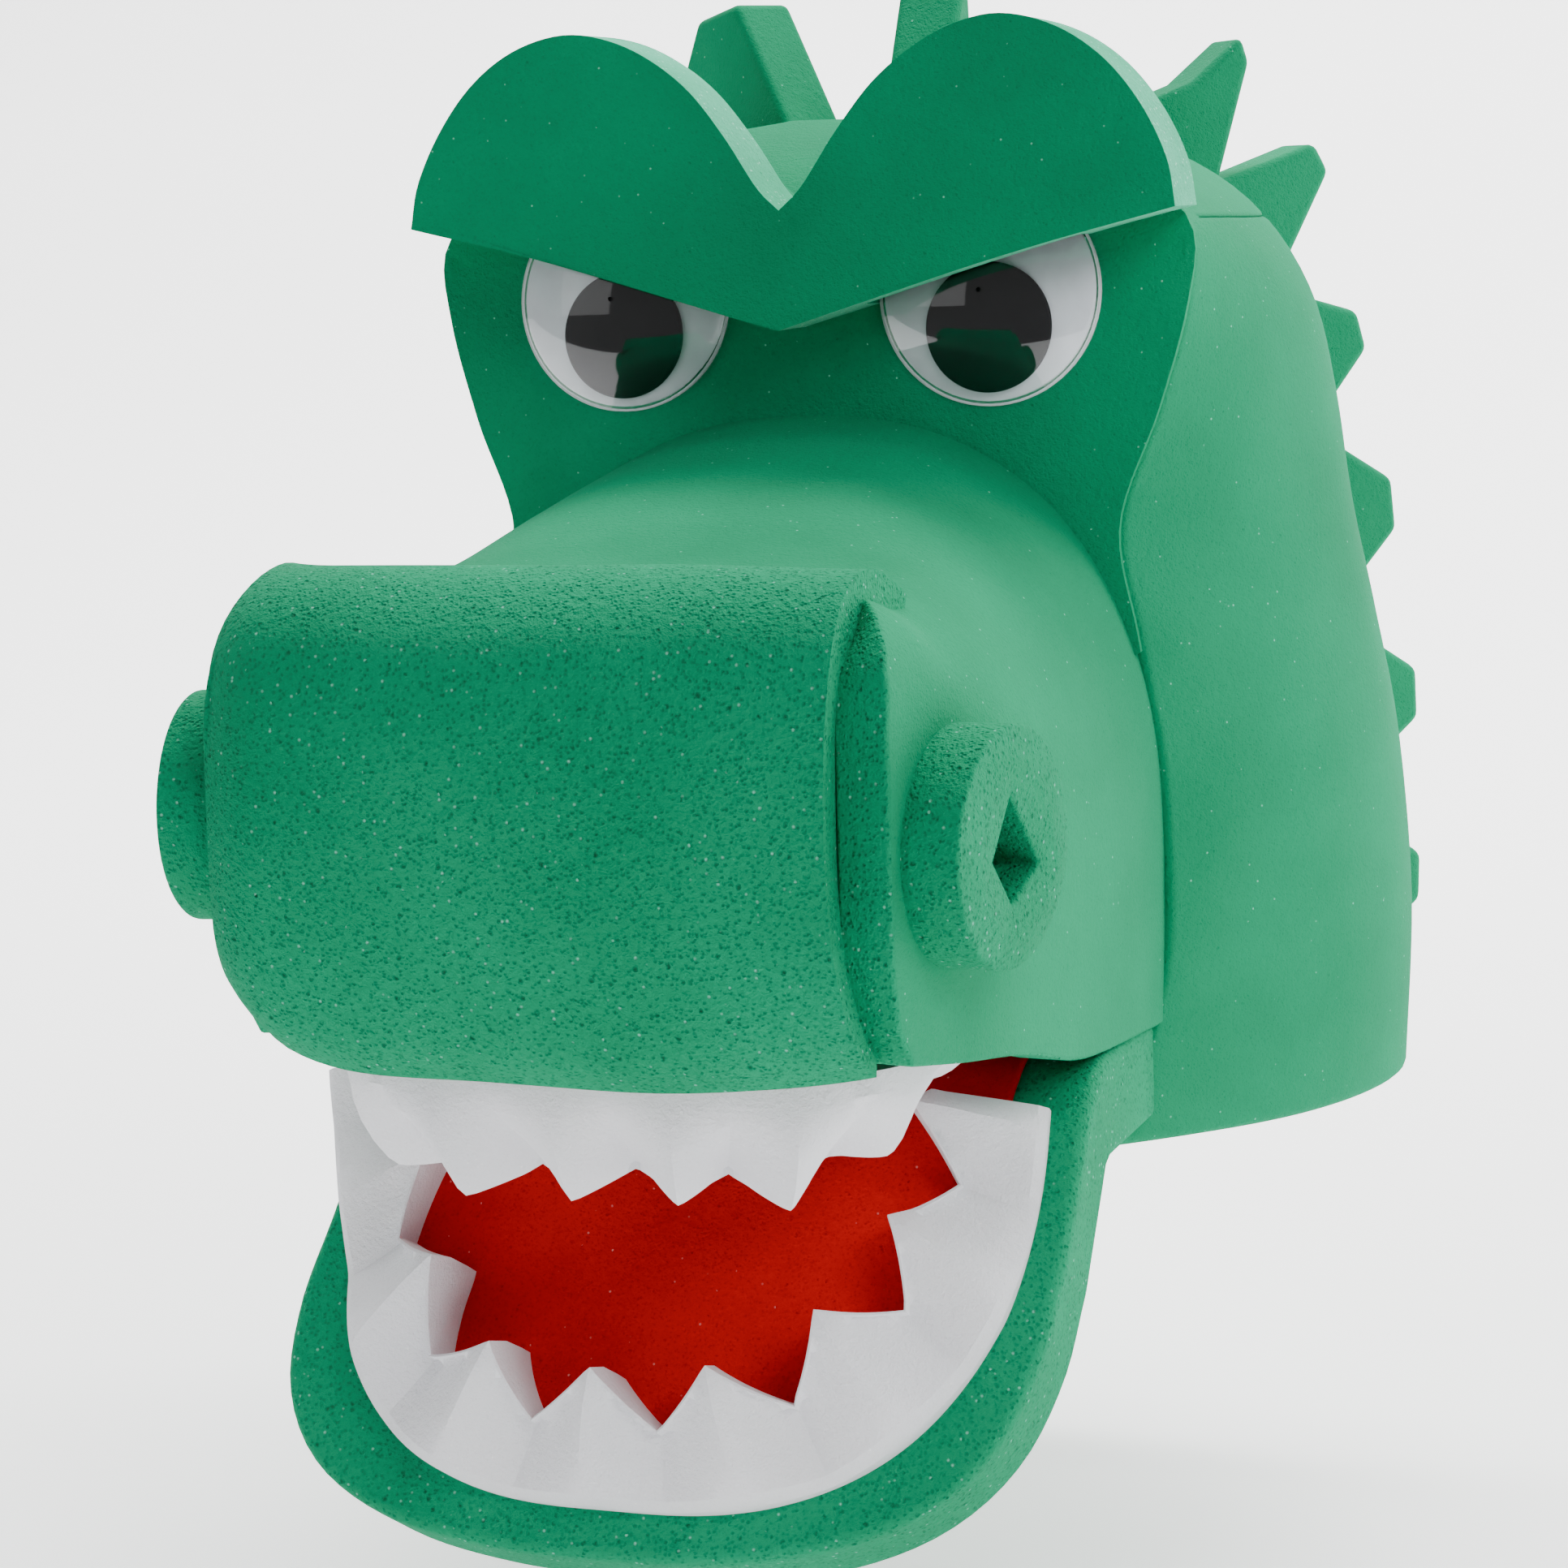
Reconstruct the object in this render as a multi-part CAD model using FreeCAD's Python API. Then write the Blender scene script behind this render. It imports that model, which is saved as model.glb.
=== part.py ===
import FreeCAD, Part
import math
import os

os.makedirs("parts", exist_ok=True)

# Crocodile hand puppet with a moving mouth, cut and glued from foam sheet.
# Millimetres.  Origin at the centre of the neck opening, +Z up, snout toward -Y,
# the puppet's own left toward +X.  The mouth hangs open, as the foam leaves it.

V = FreeCAD.Vector

# ---------------------------------------------------------------- driving sizes
SHEET = 9.0                 # thickness of the hood, face and muzzle foam
NECK_HALF_WIDTH = 96.0      # half width of the neck opening
HOOD_TOP = 181.5            # top of the hood above the neck rim
FACE_Y = -54.0              # face plane where it meets the top of the muzzle
FACE_LEAN = 0.06            # the face plane moves back this much per mm of height
MUZZLE_TOP = 128.0          # top of the muzzle where it meets the face
MUZZLE_FRONT = -175.0       # front edge of the muzzle side walls
PAD_HALF_WIDTH = 46.0       # half width of the rolled snout pad
PAD_THICK = 10.0
EYE_RADIUS = 20.0           # 40 mm wiggle eyes
EYE_X = 34.3
EYE_Z = 149.0
EYE_HEIGHT = 9.0            # dome above the face
PUPIL_RADIUS = 11.3
PUPIL_DROP = 6.2            # the loose pupil lies this far below the eye centre
BROW_THICK = 15.0
CREST_THICK = 13.0
JAW_THICK = 18.0
JAW_AXIS_Y = -100.0         # fold line of the lower jaw
JAW_AXIS_Z = 13.4
JAW_OPEN = 60.0             # the jaw hangs this far below level
JAW_OPEN_MAX = 72.0
JAW_LENGTH = 79.0
JAW_HALF_WIDTH = 66.0
JAW_SKEW = 0.11             # the jaw was glued on slightly crooked: sideways per mm
CLEAR = 0.4

# hood outline level by level:
# height, front half width, front y, side half width, rear depth
HOOD_LEVELS = [
    (0.0, 57.0, -69.0, 96.0, 71.0),
    (30.0, 65.0, -60.0, 97.5, 72.0),
    (62.0, 65.0, -58.0, 95.5, 72.0),
    (88.0, 60.5, -56.4, 90.5, 71.0),
    (108.0, 57.0, -55.2, 86.5, 69.0),
    (128.0, 64.0, -54.0, 83.5, 66.0),
    (146.0, 69.0, -53.0, 79.5, 62.0),
    (160.0, 69.5, -52.2, 71.5, 54.5),
    (170.0, 58.0, -38.0, 60.0, 46.0),
    (177.0, 42.0, -22.0, 44.0, 35.0),
    (HOOD_TOP, 18.0, -6.0, 19.0, 19.0),
]

# muzzle outline section by section:
# y, half width, top, height where the walls start to round over, squareness
MUZZLE_SECTIONS = [
    (-40.0, 65.2, 130.5, 48.0, 2.35),
    (-62.0, 65.0, 126.5, 48.0, 2.4),
    (-92.0, 64.6, 119.0, 52.0, 2.6),
    (-120.0, 63.2, 111.0, 57.0, 3.1),
    (-145.0, 60.2, 107.5, 62.0, 4.2),
    (-162.0, 57.8, 109.5, 66.0, 5.5),
    (-184.0, 55.0, 110.5, 68.0, 6.0),
]


# ---------------------------------------------------------------- small helpers
def spline(points):
    curve = Part.BSplineCurve()
    curve.interpolate([V(*p) for p in points])
    return curve.toShape()


def polygon(points):
    closed = [V(*p) for p in points] + [V(*points[0])]
    return Part.makePolygon(closed)


def prism(points, direction):
    return Part.Face(polygon(points)).extrude(V(*direction))


def box(x0, x1, y0, y1, z0, z1):
    return Part.makeBox(x1 - x0, y1 - y0, z1 - z0, V(x0, y0, z0))


def keep_largest(shape):
    return max(shape.Solids, key=lambda solid: solid.Volume)


def polyhedron(corners, faces):
    """Closed solid from corner points and lists of corner numbers."""
    sides = []
    for face in faces:
        sides.append(Part.Face(polygon([corners[i] for i in face])))
    return Part.Solid(Part.Shell(sides))


def mirrored(shape):
    return shape.mirror(V(0, 0, 0), V(1, 0, 0))


def export(shape, name):
    shape.exportStep("parts/" + name + ".step")


def face_y(z):
    return FACE_Y + FACE_LEAN * (z - MUZZLE_TOP)


def on_face(shape, x, z):
    """Place a shape built around the origin, facing -Y, on the leaning face."""
    placed = shape.copy()
    placed.rotate(V(0, 0, 0), V(1, 0, 0), -math.degrees(math.atan(FACE_LEAN)))
    placed.translate(V(x, face_y(z), z))
    return placed


# ---------------------------------------------------------------- hood
def hood_wire(z, front, front_y, side, rear, inset, lift):
    """One level of the hood: flat front, rounded sides and back."""
    front = front - inset
    front_y = front_y + inset
    side = side - inset
    rear = rear - inset
    right = []
    for u in (1.0, 0.75, 0.5, 0.25):
        right.append((side - (side - front) * u * u, front_y * u))
    for degrees in (0, 15, 30, 45, 60, 75):
        t = math.radians(degrees)
        right.append((side * math.cos(t), rear * math.sin(t)))
    left = [(-x, y) for x, y in reversed(right)]
    outline = right + [(0.0, rear)] + left
    points = [(x, y, lift) for x, y in outline]
    return Part.Wire([spline(points), Part.makeLine(V(*points[-1]), V(*points[0]))])


def hood_solid(inset):
    drop = (HOOD_TOP - inset) / HOOD_TOP
    wires = []
    if inset > 0:
        z, front, front_y, side, rear = HOOD_LEVELS[0]
        wires.append(hood_wire(z, front, front_y, side, rear, inset, -4.0))
    for z, front, front_y, side, rear in HOOD_LEVELS:
        wires.append(hood_wire(z, front, front_y, side, rear, inset, z * drop))
    return Part.makeLoft(wires, True, True)


def wedge(angle_from, angle_to):
    """Tall upright wedge around the hood axis, angles from +X toward +Y."""
    reach = 400.0
    points = [(0.0, 0.0, -50.0)]
    steps = 4
    for i in range(steps + 1):
        a = math.radians(angle_from + (angle_to - angle_from) * i / steps)
        points.append((reach * math.cos(a), reach * math.sin(a), -50.0))
    return prism(points, (0, 0, 400))


hood_outer = hood_solid(0.0)
hood_inner = hood_solid(SHEET)
hood_shell = hood_outer.cut(hood_inner)

SEAM = 39.0                 # the side and rear panels meet under the side crests
CROWN_FLOOR = 163.0
CROWN_REAR = 8.0

front_slab = prism(
    [(-90, face_y(0) - 60, 0), (-90, face_y(0) + SHEET, 0),
     (-90, face_y(220) + SHEET, 220), (-90, face_y(220) - 60, 220)],
    (180, 0, 0))


# ---------------------------------------------------------------- muzzle
def muzzle_wire(y, half, top, shoulder, square, inset, floor):
    """Upright walls with a rounded top; squareness rises toward the snout."""
    half = half - inset
    top = top - inset
    arch = []
    steps = 14
    for i in range(steps + 1):
        t = math.pi * i / steps
        c = round(math.cos(t), 9)
        s = round(math.sin(t), 9)
        x = math.copysign(half * abs(c) ** (2.0 / square), c)
        arch.append((x, y, shoulder + (top - shoulder) * s ** (2.0 / square)))
    edges = [
        Part.makeLine(V(half, y, floor), V(half, y, shoulder)),
        spline(arch),
        Part.makeLine(V(-half, y, shoulder), V(-half, y, floor)),
        Part.makeLine(V(-half, y, floor), V(half, y, floor)),
    ]
    return Part.Wire(edges)


def muzzle_solid(inset, floor):
    wires = []
    for y, half, top, shoulder, square in MUZZLE_SECTIONS:
        wires.append(muzzle_wire(y, half, top, shoulder, square, inset, floor))
    return Part.makeLoft(wires, True, True)


muzzle_outer = muzzle_solid(0.0, 10.0)
muzzle_inner = muzzle_solid(SHEET, 8.0)

# side view of the snout: the roll, the front and the rising lip
PAD_PROFILE = [
    (-142.0, 104.5), (-151.0, 108.8), (-160.0, 110.3), (-169.0, 108.0),
    (-176.0, 101.0), (-180.0, 88.0), (-181.0, 70.0), (-180.0, 50.0),
    (-177.0, 37.0), (-172.0, 31.0),
]
WALL_PROFILE = [
    (-40.0, 140.0), (-120.0, 140.0), (-150.0, 118.0), (-161.0, 108.5),
    (-168.5, 105.0), (-173.0, 98.0), (MUZZLE_FRONT, 88.0), (MUZZLE_FRONT, 52.0),
    (-173.0, 42.0), (-169.0, 36.5), (-152.0, 33.5), (-129.0, 30.0),
    (-104.0, 24.0), (-60.0, 20.5), (-40.0, 20.0),
]
wall_side_view = prism([(-80, y, z) for y, z in WALL_PROFILE], (160, 0, 0))


def inner_profile(points, thickness):
    """Same curve moved inward by the sheet thickness."""
    moved = []
    last = len(points) - 1
    for i, (y, z) in enumerate(points):
        before = points[max(i - 1, 0)]
        after = points[min(i + 1, last)]
        dy = after[0] - before[0]
        dz = after[1] - before[1]
        length = math.hypot(dy, dz)
        moved.append((y - dz / length * thickness, z + dy / length * thickness))
    return moved


def pad_solid(half):
    inner = inner_profile(PAD_PROFILE, PAD_THICK)
    outer_edge = spline([(-half, y, z) for y, z in PAD_PROFILE])
    inner_edge = spline([(-half, y, z) for y, z in inner])
    caps = []
    for a, b in ((PAD_PROFILE[0], inner[0]), (PAD_PROFILE[-1], inner[-1])):
        caps.append(Part.makeLine(V(-half, *a), V(-half, *b)))
    wire = Part.Wire(Part.__sortEdges__([outer_edge, caps[1], inner_edge, caps[0]]))
    return Part.Face(wire).extrude(V(2 * half, 0, 0))


snout_pad = pad_solid(PAD_HALF_WIDTH)
pad_room = prism(
    [(-PAD_HALF_WIDTH, -142.0, 30.0), (-PAD_HALF_WIDTH, -142.0, 140.0),
     (-PAD_HALF_WIDTH, -190.0, 140.0), (-PAD_HALF_WIDTH, -190.0, 30.0)],
    (2 * PAD_HALF_WIDTH, 0, 0))

muzzle = muzzle_outer.cut(muzzle_inner).common(wall_side_view)
muzzle = keep_largest(muzzle.cut(pad_room).cut(hood_outer))
export(muzzle, "muzzle_shell")
export(keep_largest(snout_pad), "snout_pad")


# ---------------------------------------------------------------- hood panels
hand_passage = muzzle_inner.common(box(-80, 80, -90, 0, 27, 140))
throat_gap = box(-60, 60, -90, -40, -10, 27)
face_piece = hood_shell.common(front_slab)
face_piece = face_piece.common(box(-90, 90, -120, 20, 100.0, CROWN_FLOOR - 1.5))
face_plate = keep_largest(face_piece.cut(hand_passage))
export(face_plate, "face_plate")

crown_region = box(-90, 90, -90, CROWN_REAR, CROWN_FLOOR - 1.5, 200)
crown = keep_largest(hood_shell.common(crown_region))
export(crown, "crown_panel")

body_shell = hood_shell.cut(face_plate).cut(crown_region)
body_shell = body_shell.cut(hand_passage).cut(throat_gap)
side_left = keep_largest(body_shell.common(wedge(-90.0, SEAM)))
rear_left = keep_largest(body_shell.common(wedge(SEAM, 90.0)))
export(side_left, "hood_side_left")
export(mirrored(side_left), "hood_side_right")
export(rear_left, "hood_rear_left")
export(mirrored(rear_left), "hood_rear_right")


# ---------------------------------------------------------------- crests
# tips and notches as distance from the hood axis and height, front to bottom
SIDE_CREST = [
    (34, 176), (44, 180), (70, 193), (66, 168), (92, 173), (78, 147), (103, 140),
    (86, 119), (113, 103), (90, 82), (116, 65), (91, 44), (115, 26), (90, 9),
    (99, 3),
]
CENTRE_CREST = [
    (10, 184), (16, 187), (32, 214), (36, 182), (62, 199), (56, 168), (84, 171),
    (69, 143), (96, 136), (76, 117), (104, 101), (79, 80), (105, 63), (79, 43),
    (104, 25), (78, 9), (87, 3),
]


def crest(zigzag, angle):
    outline = zigzag + [(30, 3), (5, 60), (5, 150)]
    half = CREST_THICK / 2.0
    slab = prism([(r, -half, z) for r, z in outline], (0, CREST_THICK, 0))
    slab.rotate(V(0, 0, 0), V(0, 0, 1), angle)
    return keep_largest(slab.cut(hood_outer))


crest_left = crest(SIDE_CREST, SEAM)
export(crest_left, "crest_left")
export(mirrored(crest_left), "crest_right")
export(crest(CENTRE_CREST, 90.0), "crest_centre")


# ---------------------------------------------------------------- eyes
def turned_disc(radius, y_front, y_back):
    """Disc facing -Y, centred on the origin's Y axis."""
    disc = Part.makeCylinder(radius, y_back - y_front, V(0, y_front, 0), V(0, 1, 0))
    return disc


EYE_BACK = 1.6
DOME_WALL = 0.8
CAP_RADIUS = (EYE_RADIUS ** 2 + (EYE_HEIGHT - 2.5) ** 2) / (2 * (EYE_HEIGHT - 2.5))


def cap_solid(radius, height, wall):
    """Low dome on a short straight wall, its flat side on the backing disc."""
    rise = height - 2.5
    ball = (radius ** 2 + rise ** 2) / (2 * rise)
    centre = V(0, -height + ball, 0)
    drum = turned_disc(radius - wall, -height - 1.0, -EYE_BACK)
    return drum.common(Part.makeSphere(ball - wall, centre))


eye_back = turned_disc(EYE_RADIUS, -EYE_BACK, 0.0)
dome_outer = cap_solid(EYE_RADIUS, EYE_HEIGHT, 0.0)
dome_inner = cap_solid(EYE_RADIUS, EYE_HEIGHT, DOME_WALL)
eye_dome = dome_outer.cut(dome_inner)
pupil = turned_disc(PUPIL_RADIUS, -EYE_BACK - 1.2, -EYE_BACK - 0.3)
pupil.translate(V(0, 0, -PUPIL_DROP))
eye_room = turned_disc(EYE_RADIUS + 0.3, -EYE_HEIGHT - 0.3, 2.0)

for side, name in ((1, "left"), (-1, "right")):
    seated = on_face(eye_back, side * EYE_X, EYE_Z).cut(hood_outer)
    export(keep_largest(seated), "eye_back_" + name)
    export(on_face(eye_dome, side * EYE_X, EYE_Z), "eye_dome_" + name)
    export(on_face(pupil, side * EYE_X, EYE_Z), "pupil_" + name)


# ---------------------------------------------------------------- brow
# one half of the brow outline: over the lobe, then back along the lower edge
BROW_TOP = [
    (0.0, 164.0), (4.0, 168.0), (10.0, 177.0), (17.0, 185.5), (25.0, 191.5),
    (33.0, 195.0), (41.0, 196.0), (50.0, 193.5), (58.0, 188.0), (64.5, 180.0),
    (69.0, 171.0), (70.5, 163.0),
]
BROW_BOTTOM = [(70.5, 163.0), (50.0, 158.0), (23.0, 150.0), (0.0, 143.5)]


def brow_half():
    top = spline([(x, 0, z) for x, z in BROW_TOP])
    bottom = spline([(x, 0, z) for x, z in BROW_BOTTOM])
    close = Part.makeLine(V(0, 0, BROW_BOTTOM[-1][1]), V(0, 0, BROW_TOP[0][1]))
    face = Part.Face(Part.Wire([top, bottom, close]))
    return face.extrude(V(0, -BROW_THICK, 0))


half_brow = brow_half()
brow = half_brow.fuse(mirrored(half_brow)).removeSplitter()
brow.translate(V(0, 0, -EYE_Z))
brow = on_face(brow, 0.0, EYE_Z)
for side in (1, -1):
    brow = brow.cut(on_face(eye_room, side * EYE_X, EYE_Z))
export(keep_largest(brow.cut(hood_outer)), "brow")


# ---------------------------------------------------------------- nostrils
NOSTRIL_Y = -152.0
NOSTRIL_Z = 73.0
NOSTRIL_LONG = 19.0
NOSTRIL_TALL = 17.5
NOSTRIL_THICK = 10.0


def nostril():
    """Oval disc with a leaf-shaped slot, glued on the side of the snout."""
    oval = Part.Ellipse(V(0, 0, 0), NOSTRIL_LONG, NOSTRIL_TALL).toShape()
    disc = Part.Face(Part.Wire(oval)).extrude(V(0, 0, NOSTRIL_THICK + 8))
    leaf = prism([(-7, -1, -1), (-1, 6.5, -1), (8, -3, -1), (-1, -7, -1)], (0, 0, 60))
    disc = disc.cut(leaf)
    disc.rotate(V(0, 0, 0), V(1, 0, 0), 90)
    disc.rotate(V(0, 0, 0), V(0, 0, 1), 90)
    disc.rotate(V(0, 0, 0), V(0, 0, 1), -8)
    disc.translate(V(50, NOSTRIL_Y, NOSTRIL_Z))
    return keep_largest(disc.cut(muzzle_outer))


nostril_left = nostril()
export(nostril_left, "nostril_left")
export(mirrored(nostril_left), "nostril_right")


# ---------------------------------------------------------------- mouth roof
ROOF_Z = 32.0
ROOF_THICK = 4.0
roof_block = box(-60, 60, -171.0, -66.0, ROOF_Z, ROOF_Z + ROOF_THICK)
roof = roof_block.common(muzzle_inner)
roof = keep_largest(roof.cut(pad_solid(PAD_HALF_WIDTH + 20)))
export(roof, "mouth_roof")

loop_outer = Part.makeCylinder(24, 34, V(0, -150, ROOF_Z + ROOF_THICK), V(0, 1, 0))
loop_inner = Part.makeCylinder(22, 40, V(0, -153, ROOF_Z + ROOF_THICK), V(0, 1, 0))
loop_half = box(-60, 60, -160, -100, ROOF_Z + ROOF_THICK, 90)
stretch = FreeCAD.Matrix()
stretch.A11 = 1.55
finger_loop = loop_outer.cut(loop_inner).common(loop_half).transformGeometry(stretch)
export(keep_largest(finger_loop), "finger_loop")


# ---------------------------------------------------------------- teeth
def u_path(half, depth, back, count):
    """Points along a rounded U, open at the back, evenly spaced."""
    fine = []
    steps = 400
    for i in range(steps + 1):
        t = math.pi * i / steps
        c = round(math.cos(t), 9)
        s = round(math.sin(t), 9)
        x = math.copysign(half * abs(c) ** 0.72, c)
        fine.append((x, back + (depth - back) * s ** 0.72))
    lengths = [0.0]
    for a, b in zip(fine, fine[1:]):
        lengths.append(lengths[-1] + math.hypot(b[0] - a[0], b[1] - a[1]))
    picked = []
    for k in range(count + 1):
        want = lengths[-1] * k / count
        i = max(j for j, length in enumerate(lengths) if length <= want + 1e-9)
        picked.append(fine[min(i, steps)])
    return picked


def skewed(points, skew):
    return [(x + skew * s, s) for x, s in points]


def tooth(outer, inner, low, high, tip):
    """One foam tooth: a straight foot and a pyramid, in (x, s, h) space."""
    foot = [outer[0], outer[1], inner[1], inner[0]]
    corners = [(x, s, 0.0) for x, s in foot]
    corners += [(outer[0][0], outer[0][1], low[0]), (outer[1][0], outer[1][1], low[1])]
    corners += [(inner[1][0], inner[1][1], low[1]), (inner[0][0], inner[0][1], low[0])]
    x = sum(p[0] for p in outer) * tip / 2 + sum(p[0] for p in inner) * (1 - tip) / 2
    s = sum(p[1] for p in outer) * tip / 2 + sum(p[1] for p in inner) * (1 - tip) / 2
    corners.append((x, s, high))
    faces = [(0, 1, 2, 3), (0, 1, 5, 4), (1, 2, 6, 5), (2, 3, 7, 6), (3, 0, 4, 7),
             (4, 5, 8), (5, 6, 8), (6, 7, 8), (7, 4, 8)]
    return polyhedron(corners, faces)


def tooth_strip(half, depth, back, thick, count, height_at, lean, skew):
    outer = skewed(u_path(half, depth, back, count), skew)
    inner = skewed(u_path(half - thick, depth - thick, back, count), skew)
    strip = None
    for k in range(count):
        near = outer[k]
        far = outer[k + 1]
        low = (0.55 * height_at(near[1]), 0.55 * height_at(far[1]))
        high = height_at((near[1] + far[1]) / 2)
        piece = tooth((near, far), (inner[k], inner[k + 1]), low, high, lean)
        strip = piece if strip is None else strip.fuse(piece)
    return strip.removeSplitter()


def lower_height(s):
    return max(6.0, min(19.5, 7.0 + (s - 16.0) * 0.42))


def upper_height(s):
    return max(6.0, min(22.5, 8.0 + (s - 12.0) * 0.4))


LOWER_TEETH = 11
LOWER_DEEP = 22.0           # the lower teeth slope inward over this depth
UPPER_TEETH = 9


# jaw space: x across, s along the jaw from the fold line, h above mid thickness
def into_jaw(shape):
    placed = shape.copy()
    placed.rotate(V(0, 0, 0), V(0, 0, 1), 180)
    placed.rotate(V(0, 0, 0), V(1, 0, 0), JAW_OPEN)
    placed.translate(V(0, JAW_AXIS_Y, JAW_AXIS_Z))
    return placed


half_jaw = JAW_THICK / 2.0
lower_strip = tooth_strip(
    62.0, 74.0, 14.0, LOWER_DEEP, LOWER_TEETH, lower_height, 0.2, JAW_SKEW)
lower_strip.translate(V(0, 0, half_jaw))
lower_teeth = into_jaw(lower_strip)
export(lower_teeth, "lower_teeth")

upper_strip = tooth_strip(
    49.0, 62.0, 12.0, 14.0, UPPER_TEETH, upper_height, 0.5, 0.0)
upper_strip.rotate(V(0, 0, 0), V(0, 1, 0), 180)
upper_strip.rotate(V(0, 0, 0), V(0, 0, 1), 180)
upper_strip.translate(V(0, JAW_AXIS_Y, ROOF_Z))
export(upper_strip, "upper_teeth")


# ---------------------------------------------------------------- lower jaw
JAW_OUTLINE = [
    (JAW_HALF_WIDTH, 28.0), (65.5, 42.0), (61.5, 56.0), (53.0, 66.5), (40.0, 73.5),
    (22.0, 77.8), (0.0, JAW_LENGTH),
]


def jaw_slab():
    right = list(JAW_OUTLINE)
    left = [(-x, s) for x, s in reversed(right[:-1])]
    rim = [(x, s, -half_jaw) for x, s in skewed(right + left, JAW_SKEW)]
    fold_left = V(-64.0, 0, -half_jaw)
    fold_right = V(64.0, 0, -half_jaw)
    sides = [
        Part.makeLine(V(*rim[-1]), fold_left),
        Part.makeLine(fold_left, fold_right),
        Part.makeLine(fold_right, V(*rim[0])),
    ]
    front = spline(rim)
    slab = Part.Face(Part.Wire([front] + sides)).extrude(V(0, 0, JAW_THICK))
    roll = Part.makeCylinder(half_jaw, 128.0, V(-64, 0, 0), V(1, 0, 0))
    return slab.fuse(roll).removeSplitter()


export(into_jaw(jaw_slab()), "jaw_slab")

LINING = 3.0
lining_half = 62.0 - LOWER_DEEP - 0.6
inner_u = skewed(u_path(lining_half, 74.0 - LOWER_DEEP - 0.6, 14.0, 24), JAW_SKEW)
lining_points = [(x, s, half_jaw) for x, s in inner_u]
lining_points += [(-lining_half, 2.0, half_jaw), (lining_half, 2.0, half_jaw)]
lining = prism(lining_points, (0, 0, LINING))
export(into_jaw(lining), "mouth_floor")

thumb_outer = Part.makeCylinder(21, 24, V(0, 26, -half_jaw), V(0, 1, 0))
thumb_inner = Part.makeCylinder(19, 30, V(0, 23, -half_jaw), V(0, 1, 0))
thumb_half = box(-40, 40, 20, 60, -half_jaw - 30, -half_jaw)
thumb_loop = thumb_outer.cut(thumb_inner).common(thumb_half)
export(into_jaw(keep_largest(thumb_loop)), "thumb_loop")

# fixed part of the jaw sheet, reaching back under the muzzle to the hood
throat = prism(
    [(-64, -100, 6), (-64, -100, 24), (-64, -58, 24), (-64, -58, 6)], (128, 0, 0))
throat_back = prism(
    [(-55, -58, 6), (-55, -58, 24), (-55, -30, 24), (-55, -30, 6)], (110, 0, 0))
throat = throat.fuse(throat_back)
socket = Part.makeCylinder(half_jaw + CLEAR, 140, V(-70, JAW_AXIS_Y, JAW_AXIS_Z), V(1, 0, 0))
swing = box(-70, 70, 0, 60, -half_jaw - CLEAR, half_jaw)
swing.rotate(V(0, 0, 0), V(0, 0, 1), 180)
swing.rotate(V(0, 0, 0), V(1, 0, 0), JAW_OPEN_MAX)
swing.translate(V(0, JAW_AXIS_Y, JAW_AXIS_Z))
throat = throat.cut(socket).cut(swing).cut(muzzle).cut(side_left)
throat = keep_largest(throat.cut(mirrored(side_left)))
export(throat, "throat_sheet")
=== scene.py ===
import math
import bmesh
import bpy
import numpy as np
from mathutils import Matrix, Vector, noise


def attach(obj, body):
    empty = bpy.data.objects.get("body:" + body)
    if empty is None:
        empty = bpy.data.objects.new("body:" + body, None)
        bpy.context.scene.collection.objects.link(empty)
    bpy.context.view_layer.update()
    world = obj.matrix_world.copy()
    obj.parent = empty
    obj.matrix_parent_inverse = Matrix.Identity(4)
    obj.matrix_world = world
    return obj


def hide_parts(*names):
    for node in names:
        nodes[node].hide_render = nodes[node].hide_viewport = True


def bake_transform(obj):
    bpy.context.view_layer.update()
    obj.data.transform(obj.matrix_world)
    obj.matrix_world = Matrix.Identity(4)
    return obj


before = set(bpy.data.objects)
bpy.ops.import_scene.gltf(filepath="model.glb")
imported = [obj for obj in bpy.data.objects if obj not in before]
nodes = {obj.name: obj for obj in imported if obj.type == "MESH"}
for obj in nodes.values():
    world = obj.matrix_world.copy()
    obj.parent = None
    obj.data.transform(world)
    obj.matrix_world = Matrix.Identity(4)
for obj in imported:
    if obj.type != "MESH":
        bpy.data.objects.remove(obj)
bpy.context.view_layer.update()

# Crocodile hand puppet cut and glued from foam.  Lengths here are millimetres and
# become metres when a mesh is made.  +Z up, snout toward -Y, puppet's left at +X.
MM = 0.001

SHEET = 9.0                 # foam of the hood and muzzle
FACE_Y = -54.0
FACE_LEAN = 0.06
MUZZLE_TOP = 128.0
CAP_Z = 161.5               # the cap panel sits above this height
SEAM = 39.0                 # azimuth of the seams under the side crests
PAD_THICK = 10.0
PAD_HALF = 46.0
BROW_THICK = 15.0
CREST_THICK = 13.0
EYE_X = 34.3
EYE_Z = 149.0
EYE_RADIUS = 20.0
EYE_HEIGHT = 9.0
PUPIL_RADIUS = 11.3
PUPIL_DROP = 6.2
FOLD_Y = -100.0
FOLD_Z = 13.4
JAW_OPEN = 60.0
JAW_HALF_THICK = 9.0
JAW_SKEW = 0.11             # the jaw is glued on slightly crooked
SNOUT_SKEW = 0.033
FOLD_RADIUS = 11.0
ROOF_Z = 32.0
ROOF_THICK = 4.0

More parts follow.
